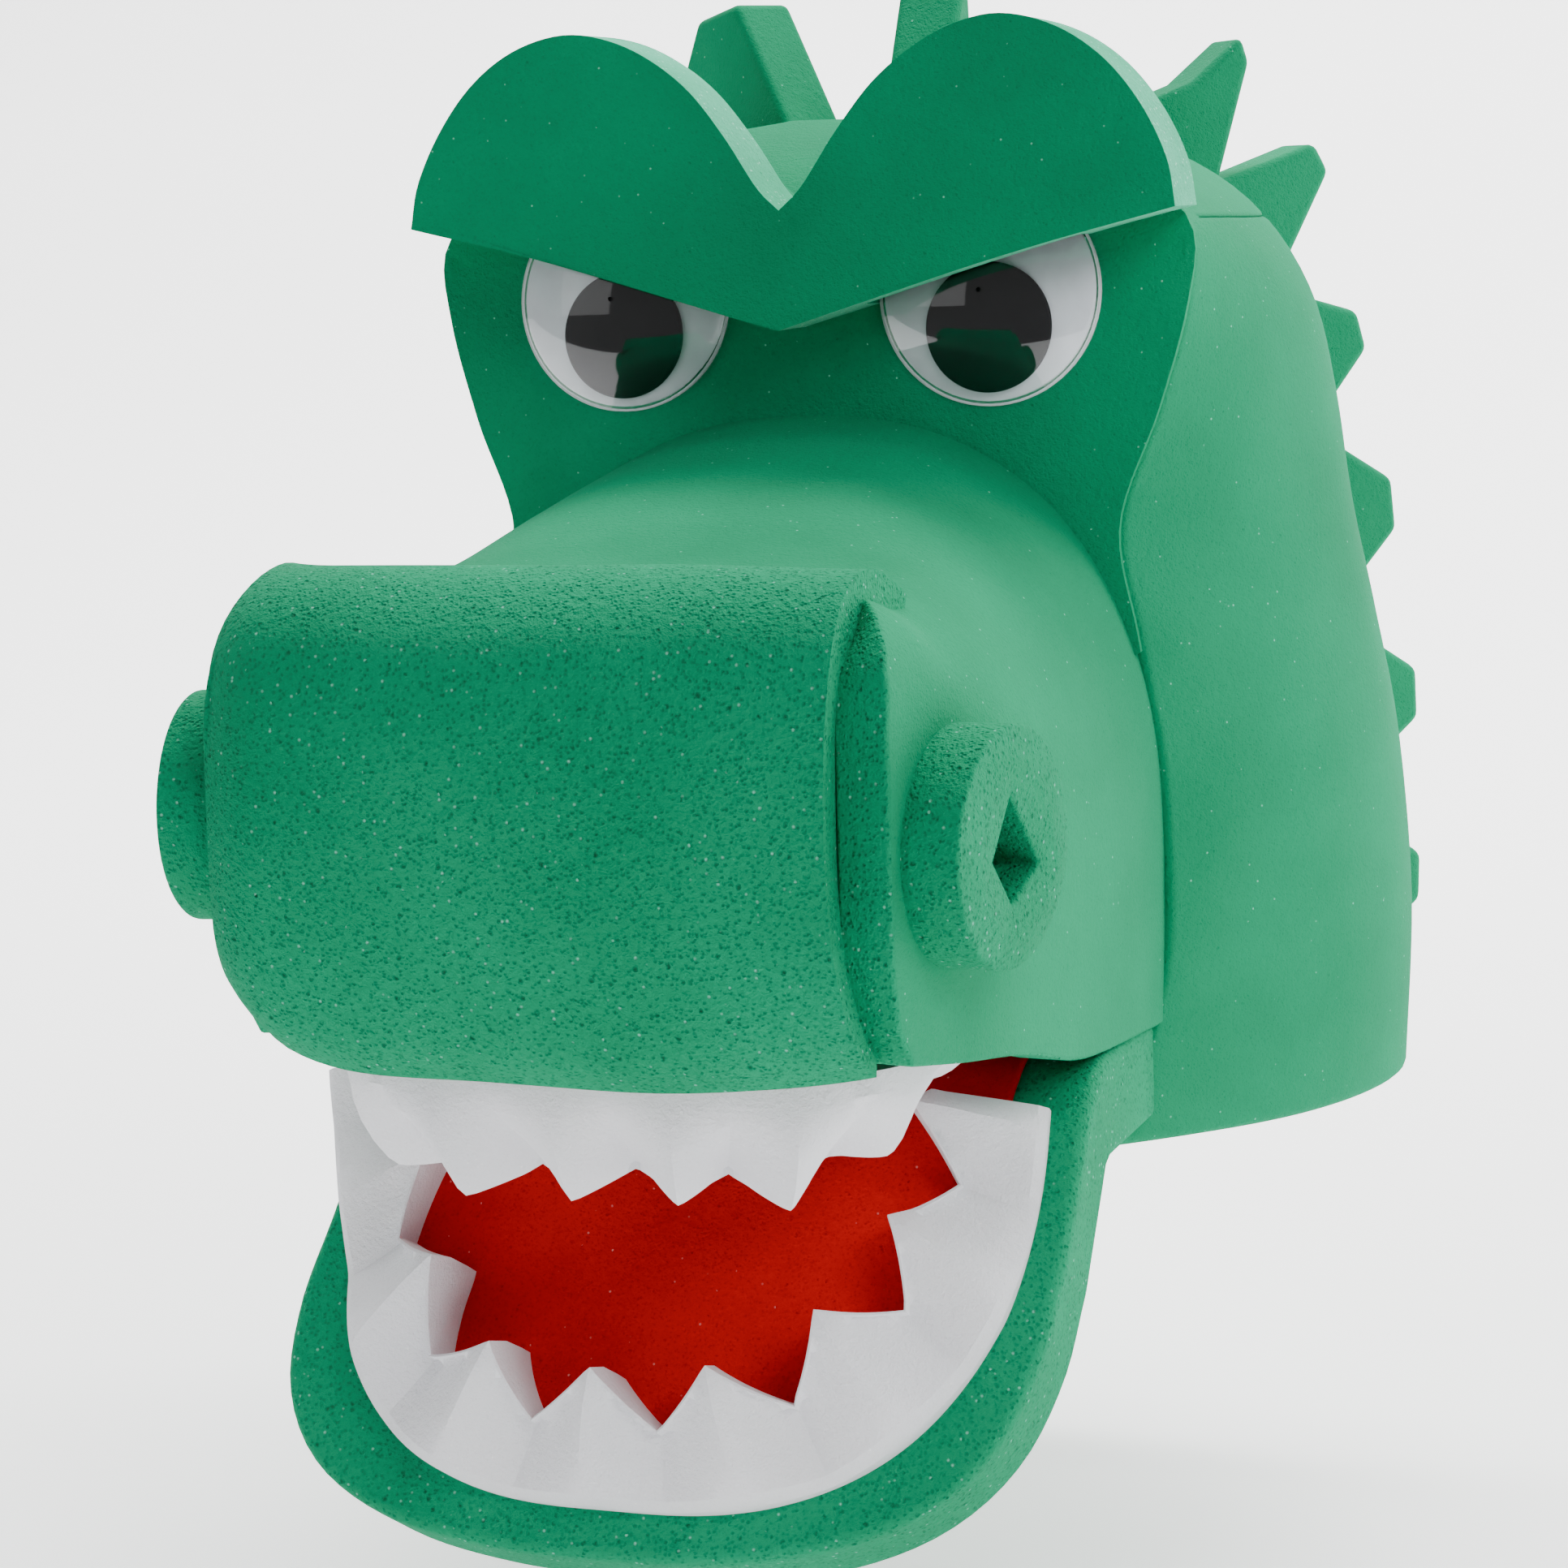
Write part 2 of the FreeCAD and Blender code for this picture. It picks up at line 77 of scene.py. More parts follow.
# height, front half width, front y, side half width, rear depth
HOOD_LEVELS = [
    (0.0, 57.0, -69.0, 96.0, 71.0),
    (30.0, 65.0, -60.0, 97.5, 72.0),
    (62.0, 65.0, -58.0, 95.5, 72.0),
    (88.0, 60.5, -56.4, 90.5, 71.0),
    (108.0, 57.0, -55.2, 86.5, 69.0),
    (128.0, 64.0, -54.0, 83.5, 66.0),
    (146.0, 69.0, -53.0, 79.5, 62.0),
    (160.0, 69.5, -52.2, 71.5, 54.5),
    (170.0, 58.0, -38.0, 60.0, 46.0),
    (177.0, 42.0, -22.0, 44.0, 35.0),
    (181.5, 18.0, -6.0, 19.0, 19.0),
]

# y, half width, top, shoulder height, squareness
MUZZLE_SECTIONS = [
    (-184.0, 55.0, 110.5, 68.0, 6.0),
    (-162.0, 57.8, 109.5, 66.0, 5.5),
    (-145.0, 60.2, 107.5, 62.0, 4.2),
    (-120.0, 63.2, 111.0, 57.0, 3.1),
    (-92.0, 64.6, 119.0, 52.0, 2.6),
    (-62.0, 65.0, 126.5, 48.0, 2.4),
    (-40.0, 65.2, 130.5, 48.0, 2.35),
]


# ---------------------------------------------------------------- lines and grids
def evenly(line, count):
    """Points at even distances along a polyline."""
    line = np.asarray(line, float)
    step = np.linalg.norm(np.diff(line, axis=0), axis=1)
    run = np.concatenate([[0.0], np.cumsum(step)])
    want = np.linspace(0.0, run[-1], count)
    columns = [np.interp(want, run, line[:, k]) for k in range(line.shape[1])]
    return np.column_stack(columns)


def smooth_line(points, count):
    """Even points on a smooth curve through the given ones."""
    p = np.asarray(points, float)
    q = np.vstack([2 * p[0] - p[1], p, 2 * p[-1] - p[-2]])
    t = np.linspace(0.0, 1.0, 24, endpoint=False)[:, None]
    parts = []
    for a, b, c, d in zip(q, q[1:], q[2:], q[3:]):
        square = 2 * a - 5 * b + 4 * c - d
        cube = 3 * b - 3 * c + d - a
        parts.append(0.5 * (2 * b + (c - a) * t + square * t**2 + cube * t**3))
    return evenly(np.vstack(parts + [p[-1:]]), count)


HOOD_TABLE = smooth_line(HOOD_LEVELS, 300)
MUZZLE_TABLE = smooth_line(MUZZLE_SECTIONS, 300)


def look_up(table, key):
    return [np.interp(key, table[:, 0], table[:, k]) for k in range(1, table.shape[1])]


def face_y(z):
    return FACE_Y + FACE_LEAN * (z - MUZZLE_TOP)


WOBBLE_STARTS = (Vector((9.3, -1.5, -7.9)), Vector((0.4, 0.7, 0.2)), Vector((6.2, 11.7, -0.1)))


def wobble(points, amount, size):
    """Slow unevenness that depends on place only, so touching pieces stay together."""
    moved = points.copy()
    for i, p in enumerate(points):
        place = Vector(p) / size
        shift = [noise.noise(place + start) for start in WOBBLE_STARTS]
        moved[i] = p + np.array(shift) * amount
    return moved


# ---------------------------------------------------------------- making meshes
def make(name, work, materials, uneven=0.5, sharp=38.0):
    """One closed piece from a bmesh in mm; a second material goes on its cut sides."""
    if len(materials) == 1:
        for face in work.faces:
            face.material_index = 0
    points = wobble(np.array([v.co for v in work.verts], float), uneven, 34.0)
    for vert, point in zip(work.verts, points):
        vert.co = Vector(point) * MM
    bmesh.ops.remove_doubles(work, verts=work.verts, dist=2e-5)
    bmesh.ops.recalc_face_normals(work, faces=work.faces)
    mesh = bpy.data.meshes.new(name)
    for material in materials:
        mesh.materials.append(material)
    work.to_mesh(mesh)
    work.free()
    mesh.polygons.foreach_set("use_smooth", [True] * len(mesh.polygons))
    mesh.set_sharp_from_angle(angle=math.radians(sharp))
    piece = bpy.data.objects.new(name, mesh)
    bpy.context.scene.collection.objects.link(piece)
    return piece


def soften(piece, width, angle=38.0, segments=3):
    """Rounded edges, as a knife cut in foam leaves them."""
    bevel = piece.modifiers.new("rounded edges", "BEVEL")
    bevel.width = width * MM
    bevel.segments = segments
    bevel.limit_method = "ANGLE"
    bevel.angle_limit = math.radians(angle)
    bevel.harden_normals = True
    bevel.use_clamp_overlap = True
    return piece


def finish_foam(piece, body, slot, *stands_for):
    """Foam pieces ride one body, and the model parts they stand for are hidden."""
    if body:
        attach(piece, body)
    if stands_for:
        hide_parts(*stands_for)
    return piece


def inward(grid, core, thick):
    """The grid moved by the sheet thickness toward its inside."""
    normal = np.cross(np.gradient(grid, axis=0), np.gradient(grid, axis=1))
    normal /= np.linalg.norm(normal, axis=2, keepdims=True) + 1e-12
    facing = np.einsum("ijk,ijk->ij", normal, grid - np.asarray(core, float))
    if facing.mean() < 0:
        normal = -normal
    return grid - normal * thick


def laid_grid(work, grid):
    """A grid of faces laid through rows and columns of points."""
    rows, cols = grid.shape[:2]
    made = bmesh.ops.create_grid(work, x_segments=cols - 1, y_segments=rows - 1, size=1.0)
    verts = sorted(made["verts"], key=lambda v: (round(v.co.y * rows), v.co.x))
    for vert, point in zip(verts, grid.reshape(-1, 3)):
        vert.co = point
    return verts


def wrapped(grid):
    """The grid with its first column again at the end, so that it closes to a tube."""
    return np.concatenate([grid, grid[:, :1]], axis=1)


def thicken(work, place):
    """Extrudes every face, moves each new point by place and marks the cut sides."""
    front = set(work.faces)
    made = bmesh.ops.extrude_face_region(work, geom=list(work.faces), use_keep_orig=True)
    for part in made["geom"]:
        if isinstance(part, bmesh.types.BMVert):
            part.co = place(part.co)
    back = {part for part in made["geom"] if isinstance(part, bmesh.types.BMFace)}
    for face in work.faces:
        face.material_index = int(face not in front and face not in back)


def sheet(outer, inner, open_cells=None, closed=False):
    """A sheet between two grids; a closed one is a tube with a lid on its last row."""
    work = bmesh.new()
    verts = laid_grid(work, outer)
    inside = {tuple(v.co): point for v, point in zip(verts, inner.reshape(-1, 3))}
    if open_cells is not None:
        cols = outer.shape[1]
        number = {v: k for k, v in enumerate(verts)}
        corner = {face: min(number[v] for v in face.verts) for face in work.faces}
        unwanted = [f for f, k in corner.items() if open_cells[k // cols, k % cols]]
        bmesh.ops.delete(work, geom=unwanted, context="FACES")
    if closed:
        top = set(verts[-outer.shape[1]:])
        bmesh.ops.remove_doubles(work, verts=work.verts, dist=0.02)
        ring = [e for e in work.edges if e.is_boundary and top.issuperset(e.verts)]
        bmesh.ops.contextual_create(work, geom=ring)
    thicken(work, lambda co: inside[tuple(co)])
    return work


def plate(front, push):
    """A flat cut-out: the outline of its front, pushed back by the plate's depth."""
    work = bmesh.new()
    work.faces.new([work.verts.new(point) for point in front])
    thicken(work, lambda co: co + Vector(push))
    return work


# ---------------------------------------------------------------- materials
def new_material(name):
    material = bpy.data.materials.new(name)
    material.use_nodes = True
    return material, material.node_tree.nodes, material.node_tree.links


def ramp(tree_nodes, stops):
    node = tree_nodes.new("ShaderNodeValToRGB")
    node.color_ramp.elements[0].position = stops[0][0]
    node.color_ramp.elements[0].color = stops[0][1]
    node.color_ramp.elements[1].position = stops[-1][0]
    node.color_ramp.elements[1].color = stops[-1][1]
    for position, colour in stops[1:-1]:
        node.color_ramp.elements.new(position).color = colour
    return node


def grey(value):
    return (value, value, value, 1.0)


def foam(name, light, deep, glint_and_sheen_tint, pore, relief, pore_shade_and_depth, glint_share, sheen):
    """Open-cell foam: cells of the given size in mm, pits darkened with painted shade as well
    as bumped, and painted glints on a few cell walls.
    """
    material, tree, links = new_material(name)
    bsdf = tree["Principled BSDF"]
    coord = tree.new("ShaderNodeTexCoord")
    broad = tree.new("ShaderNodeTexNoise")
    broad.inputs["Scale"].default_value = 26.0
    broad.inputs["Detail"].default_value = 3.0
    cells = tree.new("ShaderNodeTexVoronoi")
    cells.inputs["Scale"].default_value = 1.0 / (pore * MM)
    holes = tree.new("ShaderNodeTexVoronoi")
    holes.inputs["Scale"].default_value = 1.0 / (pore * 2.1 * MM)
    fine = tree.new("ShaderNodeTexNoise")
    fine.inputs["Scale"].default_value = 0.55 / (pore * MM)
    fine.inputs["Detail"].default_value = 4.0
    fine.inputs["Roughness"].default_value = 0.75
    for texture in (broad, cells, holes, fine):
        links.new(coord.outputs["Object"], texture.inputs["Vector"])

    tint = tree.new("ShaderNodeMix")
    tint.data_type = "RGBA"
    tint.inputs[6].default_value = (*light, 1.0)
    tint.inputs[7].default_value = (*deep, 1.0)
    broad_span = ramp(tree, [(0.35, grey(0.0)), (0.68, grey(1.0))])
    links.new(broad.outputs["Fac"], broad_span.inputs["Fac"])
    links.new(broad_span.outputs["Color"], tint.inputs[0])

    # Painted shade in the pores: cell centres and scattered larger holes are mixed toward a
    # dark green; the same mask sets the bump depth.
    cell_dark = ramp(tree, [(0.0, grey(1.0)), (0.42, grey(0.0))])
    links.new(cells.outputs["Distance"], cell_dark.inputs["Fac"])
    hole_dark = ramp(tree, [(0.0, grey(1.0)), (0.3, grey(0.0))])
    links.new(holes.outputs["Distance"], hole_dark.inputs["Fac"])
    chosen = ramp(tree, [(0.52, grey(0.0)), (0.6, grey(1.0))])
    links.new(fine.outputs["Fac"], chosen.inputs["Fac"])
    pit = tree.new("ShaderNodeMath")
    pit.operation = "MULTIPLY"
    links.new(hole_dark.outputs["Color"], pit.inputs[0])
    links.new(chosen.outputs["Color"], pit.inputs[1])
    shade = tree.new("ShaderNodeMath")
    shade.operation = "MULTIPLY_ADD"
    shade.inputs[1].default_value = pore_shade_and_depth
    links.new(pit.outputs[0], shade.inputs[0])
    cell_part = tree.new("ShaderNodeMath")
    cell_part.operation = "MULTIPLY"
    cell_part.inputs[1].default_value = pore_shade_and_depth * 0.45
    links.new(cell_dark.outputs["Color"], cell_part.inputs[0])
    links.new(cell_part.outputs[0], shade.inputs[2])
    pore_shaded = tree.new("ShaderNodeMix")
    pore_shaded.data_type = "RGBA"
    pore_shaded.inputs[7].default_value = (*[c * 0.42 for c in deep], 1.0)
    links.new(shade.outputs[0], pore_shaded.inputs[0])
    links.new(tint.outputs[2], pore_shaded.inputs[6])

    # Painted glints: a few cells are mixed toward the pale colour, standing for light catching
    # cell walls; the same pale colour is also the real sheen tint.
    channel = tree.new("ShaderNodeSeparateColor")
    links.new(cells.outputs["Color"], channel.inputs[0])
    rare = ramp(tree, [(1.0 - glint_share, grey(0.0)), (1.0 - glint_share * 0.6, grey(1.0))])
    links.new(channel.outputs["Red"], rare.inputs["Fac"])
    glint = tree.new("ShaderNodeMath")
    glint.operation = "MULTIPLY"
    links.new(rare.outputs["Color"], glint.inputs[0])
    links.new(cell_dark.outputs["Color"], glint.inputs[1])
    glint_mixed = tree.new("ShaderNodeMix")
    glint_mixed.data_type = "RGBA"
    glint_mixed.inputs[7].default_value = (*glint_and_sheen_tint, 1.0)
    links.new(glint.outputs[0], glint_mixed.inputs[0])
    links.new(pore_shaded.outputs[2], glint_mixed.inputs[6])
    links.new(glint_mixed.outputs[2], bsdf.inputs["Base Color"])

    height = tree.new("ShaderNodeMath")
    height.operation = "MULTIPLY_ADD"
    height.inputs[1].default_value = -1.0
    links.new(shade.outputs[0], height.inputs[0])
    links.new(fine.outputs["Fac"], height.inputs[2])
    bump = tree.new("ShaderNodeBump")
    bump.inputs["Strength"].default_value = 1.0
    bump.inputs["Distance"].default_value = relief * MM
    links.new(height.outputs[0], bump.inputs["Height"])
    links.new(bump.outputs["Normal"], bsdf.inputs["Normal"])
    bsdf.inputs["Roughness"].default_value = 0.93
    bsdf.inputs["Specular IOR Level"].default_value = 0.12
    bsdf.inputs["Sheen Weight"].default_value = sheen
    bsdf.inputs["Sheen Roughness"].default_value = 0.55
    bsdf.inputs["Sheen Tint"].default_value = (*glint_and_sheen_tint, 1.0)
    return material


GREEN = (0.0, 0.27, 0.120)
GREEN_DEEP = (0.0, 0.22, 0.095)
GREEN_PALE = (0.22, 0.82, 0.58)
green_smooth = foam(
    "green foam", GREEN, GREEN_DEEP, GREEN_PALE, 0.6, 0.45, 0.4, 0.006, 0.01)
green_coarse = foam(
    "green foam, coarse", (0.0, 0.31, 0.14), (0.0, 0.25, 0.108), GREEN_PALE,
    0.85, 1.1, 0.9, 0.06, 0.01)
# Lighter green with more glints for cut sides: painted light, the edges coloured as if lit
# from above.
green_lit_edge = foam(
    "green foam, cut edge painted as lit", (0.08, 0.52, 0.31), (0.01, 0.38, 0.19),
    (0.55, 0.97, 0.82), 0.7, 0.8, 0.45, 0.14, 0.12)
white_foam = foam(
    "white foam", (0.85, 0.85, 0.88), (0.79, 0.79, 0.83), (1.0, 1.0, 1.0),
    0.6, 0.45, 0.16, 0.03, 0.06)
red_foam = foam(
    "red foam", (0.72, 0.002, 0.006), (0.52, 0.0, 0.003), (0.95, 0.30, 0.28),
    0.7, 0.6, 0.5, 0.012, 0.01)


def plastic(name, colour, roughness, coat):
    """Moulded plastic with faint mottling and fine scratches in its gloss."""
    material, tree, links = new_material(name)
    bsdf = tree["Principled BSDF"]
    coord = tree.new("ShaderNodeTexCoord")
    marks = tree.new("ShaderNodeTexNoise")
    marks.inputs["Scale"].default_value = 260.0
    marks.inputs["Detail"].default_value = 5.0
    links.new(coord.outputs["Object"], marks.inputs["Vector"])
    tone = ramp(tree, [(0.3, (*[c * 0.9 for c in colour], 1.0)), (0.7, (*colour, 1.0))])
    links.new(marks.outputs["Fac"], tone.inputs["Fac"])
    links.new(tone.outputs["Color"], bsdf.inputs["Base Color"])
    rough = ramp(tree, [(0.3, grey(roughness)), (0.75, grey(roughness * 1.8))])
    links.new(marks.outputs["Fac"], rough.inputs["Fac"])
    links.new(rough.outputs["Color"], bsdf.inputs["Roughness"])
    bsdf.inputs["Coat Weight"].default_value = coat
    bsdf.inputs["Coat Roughness"].default_value = 0.05
    return material


white_plastic = plastic("white eye backing", (0.86, 0.87, 0.90), 0.28, 0.3)
black_plastic = plastic("black pupil", (0.003, 0.003, 0.004), 0.3, 0.0)
black_plastic.node_tree.nodes["Principled BSDF"].inputs[
    "Specular IOR Level"].default_value = 0.08

clear_plastic, tree, links = new_material("clear dome")
bsdf = tree["Principled BSDF"]
bsdf.inputs["Base Color"].default_value = (0.97, 0.98, 1.0, 1.0)
bsdf.inputs["Roughness"].default_value = 0.03
bsdf.inputs["IOR"].default_value = 1.46
bsdf.inputs["Transmission Weight"].default_value = 1.0
path = tree.new("ShaderNodeLightPath")
through = tree.new("ShaderNodeBsdfTransparent")
through.inputs["Color"].default_value = (0.93, 0.95, 0.97, 1.0)
either = tree.new("ShaderNodeMixShader")
links.new(path.outputs["Is Shadow Ray"], either.inputs[0])
links.new(bsdf.outputs["BSDF"], either.inputs[1])
links.new(through.outputs["BSDF"], either.inputs[2])
links.new(either.outputs["Shader"], tree["Material Output"].inputs["Surface"])


# ---------------------------------------------------------------- hood
def hood_half(z, from_part, to_part, count, slim=False):
    """Even points on the +X half outline; part 0 front corner, 1 side, 2 rear."""
    front, front_y, side, rear = look_up(HOOD_TABLE, z)
    power = 2.0
    if slim:
        pull = math.exp(-((z - 108.0) / 26.0) ** 2)
        side -= 7.0 * pull
        power = 2.0 - 0.9 * pull
    line = []
    for part in np.linspace(from_part, to_part, 90):
        if part < 1.0:
            u = 1.0 - part
            line.append((side - (side - front) * u**power, front_y * u, z))
        else:
            t = (part - 1.0) * math.pi / 2
            line.append((side * math.cos(t), rear * math.sin(t), z))
    return evenly(line, count)


def seam_part(z):
    front, front_y, side, rear = look_up(HOOD_TABLE, z)
    t = math.atan(math.tan(math.radians(SEAM)) * side / rear)
    return 1.0 + t / (math.pi / 2)


def hood_radius(z, azimuth):
    front, front_y, side, rear = look_up(HOOD_TABLE, z)
    a = math.radians(azimuth)
    return 1.0 / math.hypot(math.cos(a) / side, math.sin(a) / rear)


def flip_x(grid):
    return grid * np.array([-1.0, 1.0, 1.0])


heights = np.linspace(0.0, CAP_Z, 48)
hood_core = (0.0, 0.0, 80.0)
for side, turn, slim in (("left", np.copy, False), ("right", flip_x, True)):
    side_grid = np.array([hood_half(z, 0.0, seam_part(z), 34, slim) for z in heights])
    back_grid = np.array([hood_half(z, seam_part(z), 2.0, 26, slim) for z in heights])
    grid = turn(side_grid)
    work = sheet(grid, inward(grid, hood_core, SHEET))
    piece = make("hood_side_panel_" + side, work, [green_smooth])
    finish_foam(soften(piece, 1.8), "head", "green_foam", "hood_side_" + side)
    grid = turn(back_grid)
    work = sheet(grid, inward(grid, hood_core, SHEET))
    piece = make("hood_back_panel_" + side, work, [green_smooth])
    finish_foam(soften(piece, 1.8), "head", "green_foam", "hood_rear_" + side)

cap_rows = []
for z in (160.6, 164.0, 166.5, 169.0, 171.5, 174.0, 176.0, 178.0, 179.6, 180.7, 181.5):
    right = hood_half(z, 0.0, 2.0, 40)
    left = flip_x(right[::-1])[1:]
    front, front_y, side, rear = look_up(HOOD_TABLE, z)
    across = np.linspace(-front, front, 16)[1:-1]
    bar = np.column_stack([across, np.full(14, front_y), np.full(14, z)])
    cap_rows.append(np.vstack([right, left, bar]))
cap_grid = np.array(cap_rows)
cap_inner = cap_grid * np.array([0.88, 0.86, 1.0]) - np.array([0.0, 0.0, SHEET])
cap_inner[0] = cap_grid[0] * np.array([0.88, 0.86, 1.0])
work = sheet(wrapped(cap_grid), wrapped(cap_inner), closed=True)
piece = make("hood_cap", work, [green_smooth], sharp=50.0)
finish_foam(soften(piece, 1.5, 55.0), "head", "green_foam", "crown_panel")


def crooked(points):
    """The snout was glued on a little askew: it drifts toward -X as it goes forward."""
    moved = np.array(points, float)
    moved[..., 0] += SNOUT_SKEW * np.minimum(moved[..., 1] - FACE_Y, 0.0)
    return moved


# ---------------------------------------------------------------- muzzle
LIP = [(-172.0, 37.0), (-169.0, 36.5), (-152.0, 33.5), (-129.0, 30.0), (-104.0, 24.0),
       (-60.0, 20.5), (-40.0, 20.0)]
LIP_LINE = smooth_line(LIP, 80)
WALL_FRONT = [(30.0, -166.0), (36.5, -169.0), (42.0, -173.0), (52.0, -175.0),
              (88.0, -175.0), (97.0, -173.0), (103.0, -168.5), (106.0, -162.0),
              (108.5, -154.0), (112.0, -148.0)]
WALL_SLOPE = [(30.0, 14.0), (40.0, 9.0), (52.0, 2.0), (58.0, 0.0)]


def muzzle_section(y, wall_count, top_count):
    """Columns over the muzzle at y: left wall, top between the pad edges, right wall."""
    half, top, shoulder, square = look_up(MUZZLE_TABLE, y)
    lip = np.interp(y, LIP_LINE[:, 0], LIP_LINE[:, 1])
    angles = np.linspace(0.0, math.pi / 2, 220)
    x = half * np.cos(angles).clip(0) ** (2.0 / square)
    z = shoulder + (top - shoulder) * np.sin(angles).clip(0) ** (2.0 / square)
    line = np.column_stack([np.append(half, x), np.append(lip, z)])
    edge = np.searchsorted(-line[:, 0], -PAD_HALF)
    share = (line[edge - 1, 0] - PAD_HALF) / (line[edge - 1, 0] - line[edge, 0])
    corner = line[edge - 1] + share * (line[edge] - line[edge - 1])
    wall = evenly(np.vstack([line[:edge], corner]), wall_count)
    roof = evenly(np.vstack([corner, line[edge:]]), top_count)
    right = np.vstack([wall, roof[1:]])
    left = right[::-1][1:] * np.array([-1.0, 1.0])
    both = np.vstack([right, left])
    return np.column_stack([both[:, 0], np.full(len(both), y), both[:, 1]])


WALL_COLUMNS = 26
TOP_COLUMNS = 16
PAD_START = -142.0
rear_rows = np.linspace(-50.0, PAD_START, 30)
front_rows = np.linspace(0.0, 1.0, 12)[1:]
reach = muzzle_section(-166.0, WALL_COLUMNS, TOP_COLUMNS)[:, 2]
front_limit = np.interp(reach, [p[0] for p in WALL_FRONT], [p[1] for p in WALL_FRONT])
held_back = np.interp(reach, [p[0] for p in WALL_SLOPE], [p[1] for p in WALL_SLOPE])
held_back[:len(reach) // 2] = 0.0       # only the puppet's right wall is cut sloping
front_limit = front_limit + held_back
muzzle_rows = [muzzle_section(y, WALL_COLUMNS, TOP_COLUMNS) for y in rear_rows]
stops = np.linspace(PAD_START, -175.0, 60)
table = np.array([muzzle_section(y, WALL_COLUMNS, TOP_COLUMNS) for y in stops])
for share in front_rows:
    line = []
    for j, limit in enumerate(front_limit):
        y = PAD_START + (limit - PAD_START) * share
        x = np.interp(-y, -stops, table[:, j, 0])
        z = np.interp(-y, -stops, table[:, j, 2])
        line.append((x, y, z))
    muzzle_rows.append(np.array(line))
muzzle_grid = np.array(muzzle_rows)
columns = muzzle_grid.shape[1]
under_pad = np.zeros((len(muzzle_rows) - 1, columns - 1), bool)
first_top = WALL_COLUMNS - 1
last_top = columns - WALL_COLUMNS
under_pad[len(rear_rows) - 1:, first_top:last_top] = True
muzzle_inner = inward(muzzle_grid, (0.0, -110.0, 50.0), SHEET)
work = sheet(crooked(muzzle_grid), crooked(muzzle_inner), under_pad)
piece = make("muzzle", work, [green_smooth, green_coarse])
finish_foam(soften(piece, 1.5), "head", "green_foam", "muzzle_shell")


# ---------------------------------------------------------------- snout pad
PAD_PROFILE = [
    (-142.0, 104.5), (-151.0, 108.8), (-160.0, 110.3), (-169.0, 108.0),
    (-176.0, 101.0), (-180.0, 88.0), (-181.0, 70.0), (-180.0, 50.0),
    (-177.0, 37.0), (-172.0, 31.0),
]
profile = smooth_line(PAD_PROFILE, 44)
pad_rows = []
for y, z in profile:
    widen = max(0.0, (66.0 - z) / 36.0)
    plus_half = PAD_HALF + 1.6 + 4.4 * widen ** 1.6
    minus_half = 55.8 - 3.5 * min(max((z - 94.0) / 16.0, 0.0), 1.0) ** 2
    u = np.linspace(-1.0, 1.0, 46)
    x = np.where(u < 0, u * minus_half, u * plus_half)
    low = max(0.0, (54.0 - z) / 22.0)
    lift = np.where(u < 0, 11.0 * np.abs(u) ** 5, 4.0 * np.abs(u) ** 3) * low
    swell = 1.6 * (1.0 - u * u) * math.exp(-((z - 72.0) / 34.0) ** 2)
    curl = 5.0 * (np.maximum(-u - 0.8, 0.0) / 0.2) ** 2
    pad_rows.append(np.column_stack([x, y - swell + curl + 1.0, z + lift]))
pad_grid = np.array(pad_rows)
pad_inner = inward(pad_grid, (0, -140, 70), PAD_THICK)
work = sheet(crooked(pad_grid), crooked(pad_inner))
piece = make("snout_roll", work, [green_coarse], uneven=0.7)
finish_foam(soften(piece, 1.8), "head", "green_foam", "snout_pad")


# ---------------------------------------------------------------- face plate
def on_face(x, z, c):
    """Points on the leaning face; c grows from the front surface into the head."""
    x = np.asarray(x, float)
    z = np.asarray(z, float)
    return np.column_stack([x, face_y(z) + c, z + 0.0 * x])


half, top, shoulder, square = look_up(MUZZLE_TABLE, -57.0)
sweep = np.linspace(math.radians(26), math.radians(154), 60)
arch_x = half * np.sign(np.cos(sweep)) * np.abs(np.cos(sweep)) ** (2.0 / square)
arch_z = shoulder + (top - shoulder) * np.sin(sweep) ** (2.0 / square)
arch = np.column_stack([arch_x, arch_z - 2.5])
rise = np.linspace(arch[0, 1] + 1.0, CAP_Z, 26)
edge = np.array([(look_up(HOOD_TABLE, z)[0] + 0.2, z) for z in rise])
behind_brow = np.array([(59.0, 171.0), (10.0, 171.0), (0.0, 163.0), (-10.0, 171.0),
                        (-59.0, 171.0)])
face_outline = np.vstack(
    [arch[::-1], edge, behind_brow, edge[::-1] * np.array([-1.0, 1.0])])
proud = 0.6                 # the face panel stands this far out of the hood's edge
work = plate(on_face(*face_outline.T, -proud), (0.0, SHEET, 0.0))
piece = make("face_panel", work, [green_smooth], sharp=50.0, uneven=0.2)
finish_foam(piece, "head", "green_foam", "face_plate")


# ---------------------------------------------------------------- brow
BROW_TOP = [
    (0.0, 164.0), (4.0, 168.0), (10.0, 177.0), (17.0, 185.5), (25.0, 191.5),
    (33.0, 195.0), (41.0, 196.0), (50.0, 193.5), (58.0, 188.0), (64.5, 180.0),
    (69.0, 171.0), (70.5, 163.0),
]
BROW_BOTTOM = [(70.5, 163.0), (50.0, 158.0), (23.0, 150.0), (0.0, 143.5)]
lobe = smooth_line(BROW_TOP, 60)
under = smooth_line(BROW_BOTTOM, 22)
mirror = np.array([-1.0, 1.0])
right_side = np.vstack([lobe, under[1:]])
left_side = right_side[::-1][1:-1] * mirror
brow_outline = np.vstack([right_side, left_side])
work = plate(on_face(*brow_outline.T, -BROW_THICK), (0.0, BROW_THICK, 0.0))
# The brow's cut sides take the lighter green with painted light.
brow = make("brow_piece", work, [green_smooth, green_lit_edge], uneven=0.6)


